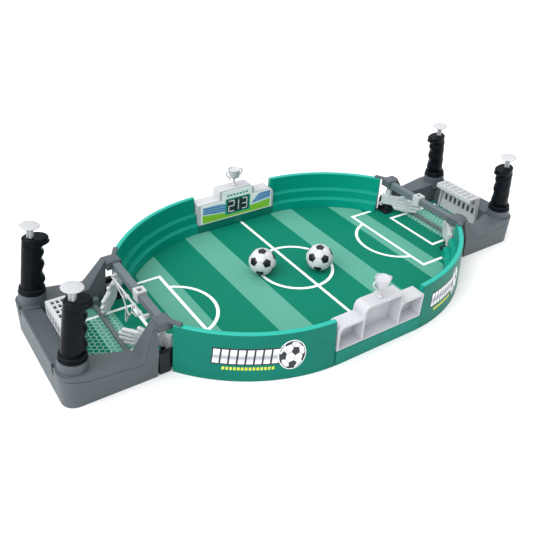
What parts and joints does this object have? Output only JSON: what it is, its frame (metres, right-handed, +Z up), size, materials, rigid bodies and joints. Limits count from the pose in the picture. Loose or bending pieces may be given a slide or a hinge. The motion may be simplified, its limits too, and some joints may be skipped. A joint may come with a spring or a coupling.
{
  "type": "tabletop football game",
  "caption": "Tabletop football toy: oval walled pitch with a goal module at each end, push-button handles that swing keeper hands, scoreboards with trophies, and loose balls.",
  "frame": {"origin": "centre of the footprint on the table", "axes": "+X along the pitch from goal to goal, +Y across it to the far side, +Z up"},
  "size_m": [0.541, 0.267, 0.1067],
  "materials": {
    "green_plastic": "moulded ABS, semi-gloss green",
    "pitch_print": "printed sheet with stripes and white lines",
    "label_print": "printed card",
    "grey_plastic": "moulded grey plastic, satin",
    "black_plastic": "moulded black plastic",
    "white_plastic": "moulded white plastic, satin gloss",
    "inner_plastic": "natural moulded plastic",
    "steel": "bright steel",
    "ball_print": "white ball with black patches"
  },
  "bodies": {
    "root": {"crossbar_left": "grey_plastic", "crossbar_right": "grey_plastic", "end_base_left": "grey_plastic", "end_base_right": "grey_plastic", "end_cover_left": "grey_plastic", "end_cover_right": "grey_plastic", "goal_left": "white_plastic", "goal_right": "white_plastic", "hand_bearing_back_left": "black_plastic", "hand_bearing_back_right": "black_plastic", "hand_bearing_front_left": "black_plastic", "hand_bearing_front_right": "black_plastic", "handle_back_left": "black_plastic", "handle_back_right": "black_plastic", "handle_front_left": "black_plastic", "handle_front_right": "black_plastic", "net_trim_left": "white_plastic", "pitch_sheet": "pitch_print", "pivot_pins_left": "steel", "pivot_pins_right": "steel", "return_spring_back_left": "steel", "return_spring_back_right": "steel", "return_spring_front_left": "steel", "return_spring_front_right": "steel", "score_label_back": "label_print", "score_label_front": "label_print", "scoreboard_back": "white_plastic", "scoreboard_front": "white_plastic", "screws_left": "steel", "screws_right": "steel", "threshold_bar_left": "grey_plastic", "threshold_bar_right": "grey_plastic", "tray_left": "green_plastic", "tray_right": "green_plastic", "trophy_back": "white_plastic", "trophy_front": "white_plastic", "wall_back_left": "green_plastic", "wall_back_right": "green_plastic", "wall_front_left": "green_plastic", "wall_front_right": "green_plastic"},
    "plunger_back_right": {"plunger_back_right": "white_plastic"},
    "rocker_back_right": {"rocker_back_right": "inner_plastic"},
    "link_back_right": {"link_back_right": "inner_plastic"},
    "hand_back_right": {"hand_back_right": "white_plastic"},
    "plunger_front_right": {"plunger_front_right": "white_plastic"},
    "rocker_front_right": {"rocker_front_right": "inner_plastic"},
    "link_front_right": {"link_front_right": "inner_plastic"},
    "hand_front_right": {"hand_front_right": "white_plastic"},
    "plunger_back_left": {"plunger_back_left": "white_plastic"},
    "rocker_back_left": {"rocker_back_left": "inner_plastic"},
    "link_back_left": {"link_back_left": "inner_plastic"},
    "hand_back_left": {"hand_back_left": "white_plastic"},
    "plunger_front_left": {"plunger_front_left": "white_plastic"},
    "rocker_front_left": {"rocker_front_left": "inner_plastic"},
    "link_front_left": {"link_front_left": "inner_plastic"},
    "hand_front_left": {"hand_front_left": "white_plastic"},
    "crossbar_marker_left": {"crossbar_marker_left": "white_plastic"},
    "crossbar_marker_right": {"crossbar_marker_right": "white_plastic"},
    "ball_1": {"ball_1": "ball_print"},
    "ball_2": {"ball_2": "ball_print"}
  },
  "joints": [
    {"name": "press_back_right", "type": "slide", "parent": "root", "child": "plunger_back_right", "axis": [0.1149, 0, -0.9934], "range_m": [0, 0.009], "stiffness_N_per_m": 150, "springref_m": -0.01, "deforming": ["return_spring_back_right"]},
    {"name": "rock_back_right", "type": "hinge", "parent": "root", "child": "rocker_back_right", "pos_m": [0.24966, 0.0535, 0.0102], "axis": [0, 1, 0], "range_deg": [0, 61]},
    {"name": "pull_back_right", "type": "slide", "parent": "root", "child": "link_back_right", "axis": [1, 0, 0], "range_m": [0, 0.0068]},
    {"name": "swing_back_right", "type": "hinge", "parent": "root", "child": "hand_back_right", "pos_m": [0.177, 0.05, 0.0275], "axis": [0, 0, -1], "range_deg": [0, 76]},
    {"name": "press_front_right", "type": "slide", "parent": "root", "child": "plunger_front_right", "axis": [0.1149, 0, -0.9934], "range_m": [0, 0.009], "stiffness_N_per_m": 150, "springref_m": -0.01, "deforming": ["return_spring_front_right"]},
    {"name": "rock_front_right", "type": "hinge", "parent": "root", "child": "rocker_front_right", "pos_m": [0.24966, -0.0535, 0.0102], "axis": [0, 1, 0], "range_deg": [0, 61]},
    {"name": "pull_front_right", "type": "slide", "parent": "root", "child": "link_front_right", "axis": [1, 0, 0], "range_m": [0, 0.0068]},
    {"name": "swing_front_right", "type": "hinge", "parent": "root", "child": "hand_front_right", "pos_m": [0.177, -0.05, 0.0275], "axis": [0, 0, 1], "range_deg": [0, 76]},
    {"name": "press_back_left", "type": "slide", "parent": "root", "child": "plunger_back_left", "axis": [-0.1149, 0, -0.9934], "range_m": [0, 0.009], "stiffness_N_per_m": 150, "springref_m": -0.01, "deforming": ["return_spring_back_left"]},
    {"name": "rock_back_left", "type": "hinge", "parent": "root", "child": "rocker_back_left", "pos_m": [-0.24966, 0.0535, 0.0102], "axis": [0, -1, 0], "range_deg": [0, 61]},
    {"name": "pull_back_left", "type": "slide", "parent": "root", "child": "link_back_left", "axis": [-1, 0, 0], "range_m": [0, 0.0068]},
    {"name": "swing_back_left", "type": "hinge", "parent": "root", "child": "hand_back_left", "pos_m": [-0.177, 0.05, 0.0275], "axis": [0, 0, 1], "range_deg": [0, 76]},
    {"name": "press_front_left", "type": "slide", "parent": "root", "child": "plunger_front_left", "axis": [-0.1149, 0, -0.9934], "range_m": [0, 0.009], "stiffness_N_per_m": 150, "springref_m": -0.01, "deforming": ["return_spring_front_left"]},
    {"name": "rock_front_left", "type": "hinge", "parent": "root", "child": "rocker_front_left", "pos_m": [-0.24966, -0.0535, 0.0102], "axis": [0, -1, 0], "range_deg": [0, 61]},
    {"name": "pull_front_left", "type": "slide", "parent": "root", "child": "link_front_left", "axis": [-1, 0, 0], "range_m": [0, 0.0068]},
    {"name": "swing_front_left", "type": "hinge", "parent": "root", "child": "hand_front_left", "pos_m": [-0.177, -0.05, 0.0275], "axis": [0, 0, -1], "range_deg": [0, 76]},
    {"name": "marker_slide_left", "type": "slide", "parent": "root", "child": "crossbar_marker_left", "axis": [0, 1, 0], "range_m": [-0.02, 0.03]},
    {"name": "marker_slide_right", "type": "slide", "parent": "root", "child": "crossbar_marker_right", "axis": [0, 1, 0], "range_m": [-0.028, 0.028]},
    {"name": "ball_lift_1", "type": "slide", "parent": "root", "child": "ball_1", "axis": [0, 0, 1], "range_m": [0, 0.15]},
    {"name": "ball_lift_2", "type": "slide", "parent": "root", "child": "ball_2", "axis": [0, 0, 1], "range_m": [0, 0.15]}
  ],
  "couplings": [
    {"joint": "rock_back_right", "follows": "press_back_right", "rad_per_m": 116.36},
    {"joint": "pull_back_right", "follows": "press_back_right", "ratio": 0.74175},
    {"joint": "swing_back_right", "follows": "press_back_right", "rad_per_m": 145.44},
    {"joint": "rock_front_right", "follows": "press_front_right", "rad_per_m": 116.36},
    {"joint": "pull_front_right", "follows": "press_front_right", "ratio": 0.74175},
    {"joint": "swing_front_right", "follows": "press_front_right", "rad_per_m": 145.44},
    {"joint": "rock_back_left", "follows": "press_back_left", "rad_per_m": 116.36},
    {"joint": "pull_back_left", "follows": "press_back_left", "ratio": 0.74175},
    {"joint": "swing_back_left", "follows": "press_back_left", "rad_per_m": 145.44},
    {"joint": "rock_front_left", "follows": "press_front_left", "rad_per_m": 116.36},
    {"joint": "pull_front_left", "follows": "press_front_left", "ratio": 0.74175},
    {"joint": "swing_front_left", "follows": "press_front_left", "rad_per_m": 145.44}
  ]
}
